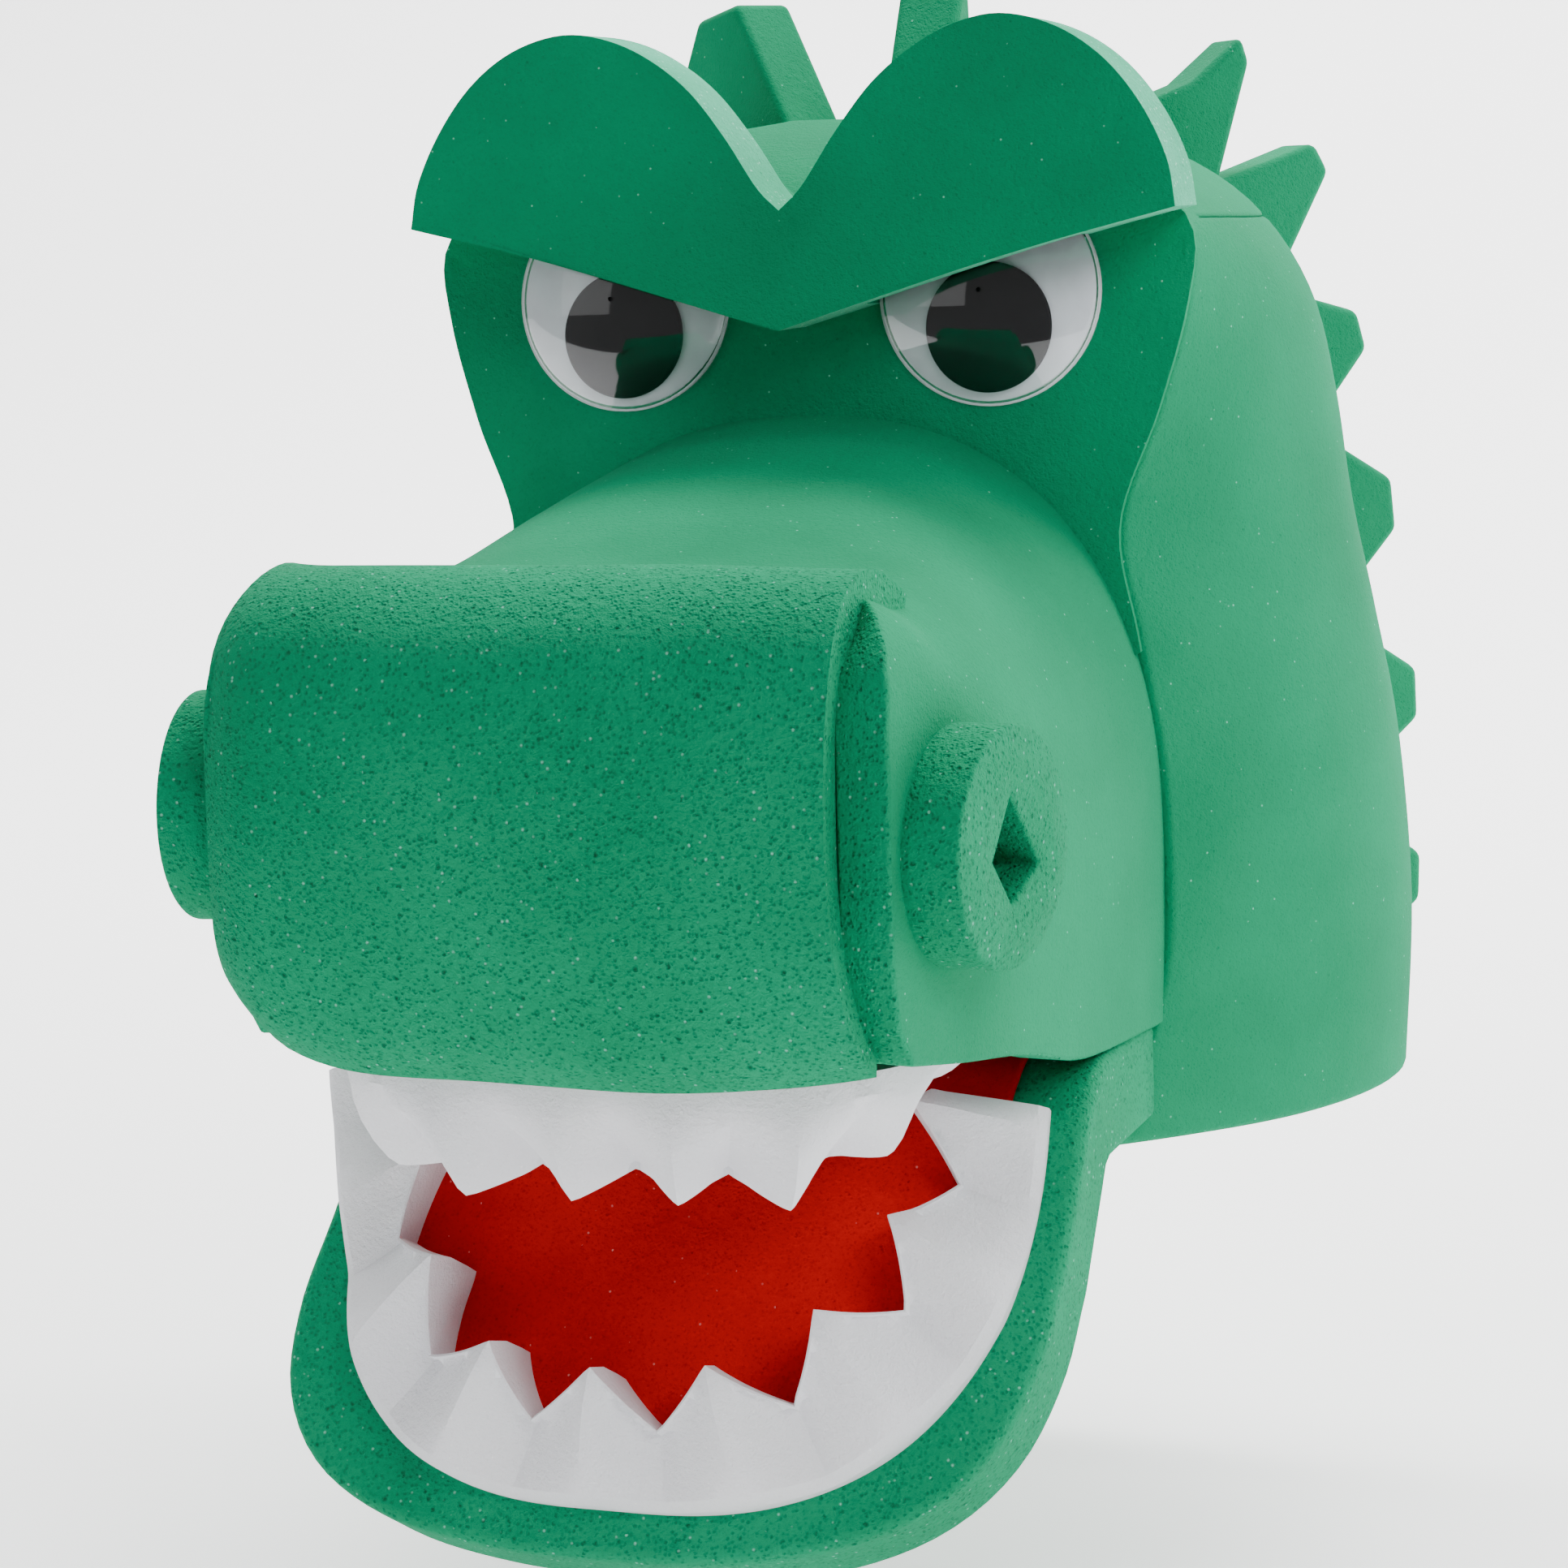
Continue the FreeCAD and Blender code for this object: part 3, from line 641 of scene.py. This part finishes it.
# ---------------------------------------------------------------- crests
SIDE_CREST_TAIL = [
    (78, 147), (103, 140), (86, 119), (110, 104), (90, 82), (116, 65), (91, 44),
    (117, 27), (90, 9), (99, 3),
]
SIDE_CREST_LEFT = [(34, 176), (46, 182), (60, 187), (75, 199), (66, 168), (94, 178)]
SIDE_CREST_RIGHT = [(25, 178), (46, 206), (67, 203), (65, 172), (92, 174)]
CENTRE_CREST = [
    (10, 184), (16, 187), (32, 214), (36, 182), (62, 199), (56, 168), (84, 171),
    (69, 143), (96, 136), (76, 117), (104, 101), (79, 80), (105, 63), (79, 43),
    (104, 25), (78, 9), (87, 3),
]


def blunt(zigzag):
    """Each sharp tip becomes a short flat, as scissors leave it."""
    line = [zigzag[0]]
    for before, here, after in zip(zigzag, zigzag[1:], zigzag[2:]):
        if here[0] > before[0] and here[0] > after[0]:
            for other in (before, after):
                share = 0.27
                line.append((here[0] + (other[0] - here[0]) * share,
                             here[1] + (other[1] - here[1]) * share))
        else:
            line.append(here)
    line.append(zigzag[-1])
    return line


def crest_piece(name, zigzag, azimuth, node):
    inner = [(hood_radius(z, azimuth) - 6.0, z) for z in np.linspace(4.0, 174.0, 30)]
    radius, height = np.array(blunt(zigzag) + inner, float).T
    a = math.radians(azimuth)
    push = np.array([-math.sin(a), math.cos(a), 0.0]) * CREST_THICK
    middle = np.column_stack([radius * math.cos(a), radius * math.sin(a), height])
    work = plate(middle - push / 2.0, push)
    piece = make(name, work, [green_smooth], sharp=30.0)
    finish_foam(soften(piece, 1.6, 30.0), "head", "green_foam", node)


crest_piece("crest_side_left", SIDE_CREST_LEFT + SIDE_CREST_TAIL, SEAM, "crest_left")
crest_piece(
    "crest_side_right", SIDE_CREST_RIGHT + SIDE_CREST_TAIL, 180.0 - SEAM, "crest_right")
crest_piece("crest_middle", CENTRE_CREST, 90.0, "crest_centre")


# ---------------------------------------------------------------- nostrils
def nostril(side):
    turns = np.linspace(0.0, 2 * math.pi, 72, endpoint=False)
    middle_z = 67.5 if side > 0 else 71.0
    kite = np.array([(-7.5, -1.0), (-1.0, -8.5), (8.5, -3.5), (-1.0, 8.0)])
    oval = np.column_stack([19.0 * np.cos(turns), 18.6 * np.sin(turns)])
    slot_line = evenly(np.vstack([kite, kite[:1]]), 73)[:-1]
    bearing = np.arctan2(slot_line[:, 1] + 1.5, slot_line[:, 0])
    slot_line = slot_line[np.argsort(bearing % (2 * math.pi))]
    rings = [slot_line, slot_line * 0.5 + oval * 0.5, oval]
    a = math.radians(8.0)
    levels = []
    for depth in (18.6, 0.0):
        for k, ring in enumerate(rings):
            dome = 0.8 if (k == 1 and depth > 1.0) else 0.0
            out = depth + dome
            x = 50.0 + out * math.cos(a) + ring[:, 0] * math.sin(a)
            y = -152.0 - out * math.sin(a) + ring[:, 0] * math.cos(a)
            levels.append(np.column_stack([side * x, y, middle_z + ring[:, 1]]))
    around = [levels[k] for k in (0, 1, 2, 5, 4, 3, 0)]
    work = bmesh.new()
    laid_grid(work, crooked(wrapped(np.array(around))))
    return work


for side, name in ((1, "left"), (-1, "right")):
    piece = make("nostril_ring_" + name, nostril(side), [green_coarse], sharp=40.0)
    finish_foam(soften(piece, 1.6, 50.0), "head", "green_foam", "nostril_" + name)


# ---------------------------------------------------------------- teeth
def u_line(half, depth, back, square=0.72):
    """Fine points along a rounded U, open at the back; a low square is boxier."""
    t = np.linspace(0.0, math.pi, 500)
    c = np.round(np.cos(t), 9)
    x = half * np.sign(c) * np.abs(c) ** square
    s = back + (depth - back) * np.round(np.sin(t), 9).clip(0) ** square
    return np.column_stack([x, s])


# share of the depth from the outer face, share of the local height
LOWER_CUT = [(0.0, 0.0), (0.0, 0.2), (0.06, 0.38), (0.2, 0.56), (0.42, 0.74),
             (0.66, 0.9), (0.88, 1.0), (0.93, 1.0), (0.99, 0.7), (1.0, 0.35), (1.0, 0.0)]
UPPER_CUT = [(0.0, 0.0), (0.0, 0.22), (0.03, 0.42), (0.1, 0.6), (0.22, 0.78),
             (0.36, 0.93), (0.47, 1.0), (0.55, 1.0), (0.85, 0.78), (1.0, 0.5), (1.0, 0.0)]


def teeth(size, count, height_at, valley, cut, notch, place, phase, seed):
    """A U-shaped strip whose free edge is cut into ridged pyramids."""
    half, depth, back, thick, square = size
    set_back, pinch, start = notch
    steps = 20
    outer = evenly(u_line(half, depth, back, square), count * steps + 1)
    inner = u_line(half - thick, depth - thick, back, square)
    inner = evenly(inner, count * steps + 1)
    chance = np.random.default_rng(seed)
    tall = 1.0 + chance.uniform(-0.04, 0.04, count + 2)
    rows = []
    for i in range(count * steps + 1):
        along = i / steps + phase
        whole = math.floor(along)
        part = along - whole
        rise = 1.0 - abs(2.0 * part - 1.0)
        rounded = 1.03 - math.sqrt((2.0 * part - 1.0) ** 2 + 0.004)
        peak = height_at(outer[i, 1]) * tall[whole]
        height = peak * (valley + (1.0 - valley) * min(max(rounded, 0.0), 1.0))
        row = []
        span = 1.0 - set_back * (1.0 - rise)
        moved = 0.0
        for k, (share, up) in enumerate(cut):
            facet = pinch * (1.0 - rise) * max(up - start, 0.0) if k < 7 else 0.0
            wanted = share * span + facet
            moved = max(moved, min(wanted, 0.9 * span) if k < 7 else wanted)
            x, s = outer[i] + (inner[i] - outer[i]) * moved
            row.append(place(x, s, height * up))
        rows.append(row)
    work = bmesh.new()
    laid_grid(work, wrapped(np.array(rows)))
    bmesh.ops.remove_doubles(work, verts=work.verts, dist=0.02)
    bmesh.ops.holes_fill(work, edges=work.edges, sides=0)
    return work


def in_jaw(x, s, h):
    """Final place of a point x across, s along the open jaw, h above mid thickness."""
    a = math.radians(JAW_OPEN)
    y = FOLD_Y - s * math.cos(a) - h * math.sin(a)
    z = FOLD_Z - s * math.sin(a) + h * math.cos(a)
    return (x - JAW_SKEW * s, y, z)


def lower_height(s):
    return max(min(8.0 + 0.5 * s, 10.5), min(18.0, 5.0 + (s - 16.0) * 0.41))


def drifting(x, s):
    """The rear ends of the lower strip are glued on further toward -X."""
    rear = max(0.0, (38.0 - s) / 36.0) ** 1.2
    return x - (11.0 if x < 0 else 4.5) * rear


def upper_height(s):
    return max(4.0, min(22.0, 3.0 + (s - 12.0) * 0.39))


work = teeth(
    (62.0, 74.0, 2.0, 22.0, 0.72), 8, lower_height, 0.52, LOWER_CUT, (0.40, 0.9, 0.34),
    lambda x, s, h: in_jaw(drifting(x, s), s, JAW_HALF_THICK + h - 0.3), 0.35, 4)
piece = make("teeth_below", work, [white_foam], sharp=26.0, uneven=0.8)
finish_foam(piece, "jaw", "white_foam", "lower_teeth")

work = teeth(
    (51.0, 65.0, 10.0, 14.0, 0.5), 9, upper_height, 0.80, UPPER_CUT, (0.0, 1.0, 0.32),
    lambda x, s, h: crooked((x, FOLD_Y - s, ROOF_Z - h)), 0.75, 9)
piece = make("teeth_above", work, [white_foam], sharp=26.0, uneven=0.8)
finish_foam(piece, "head", "white_foam", "upper_teeth")


# ---------------------------------------------------------------- lower jaw
TANGENT = FOLD_RADIUS * math.tan(math.radians(JAW_OPEN / 2))


def bent(x, p, h):
    """A point of the bent sheet: p forward of the fold, h above mid thickness."""
    if p >= TANGENT:
        return in_jaw(x, p, h)
    if p <= -TANGENT:
        return (x, FOLD_Y - p, FOLD_Z + h)
    turn = math.radians(JAW_OPEN) * (p + TANGENT) / (2 * TANGENT)
    reach = FOLD_RADIUS + h
    y = FOLD_Y + TANGENT - reach * math.sin(turn)
    z = FOLD_Z - FOLD_RADIUS + reach * math.cos(turn)
    return (x - JAW_SKEW * max(p, 0.0), y, z)


JAW_FRONT = [
    (66.0, 28.0), (65.5, 43.0), (61.5, 58.0), (53.0, 69.0), (40.0, 76.3),
    (22.0, 80.8), (0.0, 82.0), (-22.0, 81.2), (-41.0, 77.8), (-56.0, 70.0),
    (-64.5, 58.0), (-67.0, 43.0), (-66.0, 28.0),
]


def bent_sheet(stations, halves, across, front, low, high):
    """Rows across the sheet, then one flat end piece with the given front outline."""
    flat = [[(x, p) for x in np.linspace(half, -half, across)]
            for p, half in zip(stations, halves)]
    work = bmesh.new()
    top = laid_grid(work, np.array([[bent(x, p, high) for x, p in row] for row in flat]))
    flat_of = dict(zip(top, [place for row in flat for place in row]))
    tongue = [work.verts.new(bent(x, s, high)) for x, s in front[1:-1]]
    flat_of.update(zip(tongue, front[1:-1]))
    work.faces.new(tongue[::-1] + top[-across:])
    below = {tuple(v.co): bent(*place, low) for v, place in flat_of.items()}
    thicken(work, lambda co: below[tuple(co)])
    return work


bend = list(np.linspace(-TANGENT, TANGENT, 11))
stations = list(np.linspace(-54.0, -10.0, 8)) + bend + [11.0, 17.0, 22.5, 28.0]
halves = [np.interp(p, [-54.0, -42.0, -36.0, 0.0, 28.0], [55.0, 58.0, 64.0, 64.0, 66.0])
          for p in stations]
front = smooth_line(JAW_FRONT, 60)
work = bent_sheet(stations, halves, 27, front, -JAW_HALF_THICK, JAW_HALF_THICK)
piece = make("jaw_and_throat", work, [green_coarse])
soften(piece, 2.2, 45.0)
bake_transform(piece)
finish_foam(piece, None, "green_foam", "jaw_slab", "throat_sheet")

lining_front = u_line(51.0, 62.0, 14.0)
lining_front = evenly(lining_front[(lining_front[:, 1] > 18.0)], 40)
stations = list(np.linspace(-40.0, -10.0, 6)) + bend + [12.0, lining_front[0, 1]]
halves = [lining_front[0, 0]] * len(stations)
work = bent_sheet(
    stations, halves, 21, lining_front, JAW_HALF_THICK - 0.4, JAW_HALF_THICK + 1.8)
piece = make("red_floor", work, [red_foam], uneven=0.8)
soften(piece, 0.8, 50.0)
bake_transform(piece)
finish_foam(piece, None, "red_foam", "mouth_floor")

ROOF_OUTLINE = [(-40.0, -66.0), (-40.0, -150.0), (-34.0, -158.0), (34.0, -158.0),
                (40.0, -150.0), (40.0, -66.0)]
roof_top = [(x, y, ROOF_Z + ROOF_THICK) for x, y in ROOF_OUTLINE]
work = plate(crooked(roof_top), (0.0, 0.0, -ROOF_THICK))
piece = make("red_roof", work, [red_foam])
finish_foam(soften(piece, 0.8), "head", "red_foam", "mouth_roof")

# finger loop and thumb loop keep their designed shape
for name, material, slot in (
    ("finger_loop", green_smooth, "green_foam"),
    ("thumb_loop", green_smooth, "green_foam"),
):
    nodes[name].data.materials.clear()
    nodes[name].data.materials.append(material)


# ---------------------------------------------------------------- eyes
def turned(name, profile, centre, material, sharp):
    """Closed body turned about the face normal; profile is (radius, height)."""
    tilt = math.atan(FACE_LEAN)
    out = Vector((0.0, -math.cos(tilt), math.sin(tilt)))
    upward = Vector((0.0, math.sin(tilt), math.cos(tilt)))
    foot = Vector((centre[0], face_y(EYE_Z), EYE_Z)) + upward * (centre[1] - EYE_Z)
    work = bmesh.new()
    verts = [work.verts.new(foot + Vector((r, 0.0, 0.0)) + out * c) for r, c in profile]
    edges = [work.edges.new(pair) for pair in zip(verts, verts[1:])]
    bmesh.ops.spin(
        work, geom=verts + edges, cent=foot, axis=out, dvec=(0.0, 0.0, 0.0),
        angle=2 * math.pi, steps=72, use_merge=True)
    bmesh.ops.remove_doubles(work, verts=work.verts, dist=0.02)
    bmesh.ops.holes_fill(work, edges=work.edges, sides=0)
    return make(name, work, [material], uneven=0.0, sharp=sharp)


def cap_profile(radius, low, straight, top, count):
    """Straight wall from low to straight, then a round cap up to top."""
    rise = top - straight
    ball = (radius ** 2 + rise ** 2) / (2 * rise)
    widest = math.asin(radius / ball)
    line = [(radius, low)]
    for a in np.linspace(widest, 0.012, count):
        line.append((ball * math.sin(a), top - ball + ball * math.cos(a)))
    return line


def pocket(piece, cutter):
    """Cuts the cutter's room out of the piece and drops the cutter."""
    cut = piece.modifiers.new("pocket", "BOOLEAN")
    cut.operation = "DIFFERENCE"
    cut.solver = "EXACT"
    cut.object = cutter
    bpy.context.view_layer.update()
    shown = piece.evaluated_get(bpy.context.evaluated_depsgraph_get())
    mesh = bpy.data.meshes.new_from_object(shown)
    piece.modifiers.remove(cut)
    piece.data = mesh
    mesh.set_sharp_from_angle(angle=math.radians(38.0))
    bpy.data.objects.remove(cutter)


for side, name in ((1, "left"), (-1, "right")):
    centre = (side * EYE_X, EYE_Z)
    room = [(EYE_RADIUS + 0.4, -4.0), (EYE_RADIUS + 0.4, EYE_HEIGHT + 0.5)]
    pocket(brow, turned("eye_room", room, centre, green_smooth, 30.0))
    back = [(19.0, -0.2), (19.7, 0.2), (19.7, 1.2), (19.3, 1.6)]
    piece = turned("eye_backing_" + name, back, centre, white_plastic, 60.0)
    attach(piece, "head")
    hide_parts("eye_back_" + name)
    outside = cap_profile(EYE_RADIUS, 1.0, 2.6, EYE_HEIGHT, 26)
    inside = cap_profile(EYE_RADIUS - 0.8, 1.0, 2.2, EYE_HEIGHT - 0.8, 26)
    profile = outside + inside[::-1] + [outside[0]]
    piece = turned("eye_bubble_" + name, profile, centre, clear_plastic, 60.0)
    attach(piece, "head")
    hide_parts("eye_dome_" + name)
    low = (centre[0], centre[1] - PUPIL_DROP)
    rounded = PUPIL_RADIUS - 0.4
    disc = [(rounded, 1.9), (PUPIL_RADIUS, 2.1), (PUPIL_RADIUS, 2.6), (rounded, 2.85),
            (4.0, 3.0)]
    piece = turned("pupil_disc_" + name, disc, low, black_plastic, 60.0)
    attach(piece, "pupil_" + name[0])
    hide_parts("pupil_" + name)


finish_foam(soften(brow, 1.8), "head", "green_foam", "brow")


# ---------------------------------------------------------------- floor and light
def backdrop():
    line = [(-0.5, -0.085), (0.5, -0.085), (1.1, -0.03), (1.6, 0.2), (1.85, 0.7),
            (1.9, 3.0)]
    curve = smooth_line(line, 60)
    work = bmesh.new()
    laid_grid(work, np.array([[(x, y, z) for x in np.linspace(-4.0, 4.0, 9)]
                              for y, z in curve]))
    mesh = bpy.data.meshes.new("backdrop")
    work.to_mesh(mesh)
    work.free()
    mesh.polygons.foreach_set("use_smooth", [True] * len(mesh.polygons))
    sweep_piece = bpy.data.objects.new("backdrop", mesh)
    bpy.context.scene.collection.objects.link(sweep_piece)
    material, tree, links = new_material("pale floor")
    tree["Principled BSDF"].inputs["Base Color"].default_value = (0.93, 0.93, 0.93, 1.0)
    tree["Principled BSDF"].inputs["Roughness"].default_value = 0.9
    tree["Principled BSDF"].inputs["Emission Color"].default_value = (1.0, 1.0, 1.0, 1.0)
    tree["Principled BSDF"].inputs["Emission Strength"].default_value = 0.7
    mesh.materials.append(material)


backdrop()


def area_light(name, place, target, size, power):
    data = bpy.data.lights.new(name, "AREA")
    data.shape = "RECTANGLE"
    data.size = size[0]
    data.size_y = size[1]
    data.energy = power
    lamp = bpy.data.objects.new(name, data)
    bpy.context.scene.collection.objects.link(lamp)
    lamp.location = place
    aim = Vector(target) - Vector(place)
    lamp.rotation_euler = aim.to_track_quat("-Z", "Y").to_euler()


middle = (0.0, -0.05, 0.09)
area_light("key", (0.95, -0.75, 0.95), middle, (0.6, 0.6), 10.0)
area_light("fill", (-0.9, -1.1, 0.5), middle, (0.9, 0.9), 2.2)
area_light("top", (0.1, 0.2, 1.25), middle, (1.0, 0.8), 8.5)
area_light("side", (1.2, 0.35, 0.35), middle, (0.7, 0.9), 3.0)
area_light("wall wash", (0.0, 0.6, 1.6), (0.0, 1.7, 0.2), (3.0, 0.5), 110.0)

world = bpy.data.worlds.new("studio")
world.use_nodes = True
world.node_tree.nodes["Background"].inputs["Color"].default_value = (1.0, 1.0, 1.0, 1.0)
world.node_tree.nodes["Background"].inputs["Strength"].default_value = 0.3
bpy.context.scene.world = world


# ---------------------------------------------------------------- camera
right = Vector((0.94105533, 0.33691569, -0.0300448))
up = Vector((-0.02118894, 0.14736598, 0.98885504))
ahead = Vector((-0.33758836, 0.92993069, -0.14581842))
lens = bpy.data.cameras.new("camera")
lens.lens = 85.7
lens.sensor_width = 36.0
lens.shift_x = 0.0237
lens.shift_y = 0.00775
camera = bpy.data.objects.new("camera", lens)
bpy.context.scene.collection.objects.link(camera)
turned_axes = Matrix((right, up, -ahead)).transposed().to_4x4()
camera.matrix_world = Matrix.Translation((0.21657442, -0.6889216, 0.15825863)) @ turned_axes
bpy.context.scene.camera = camera
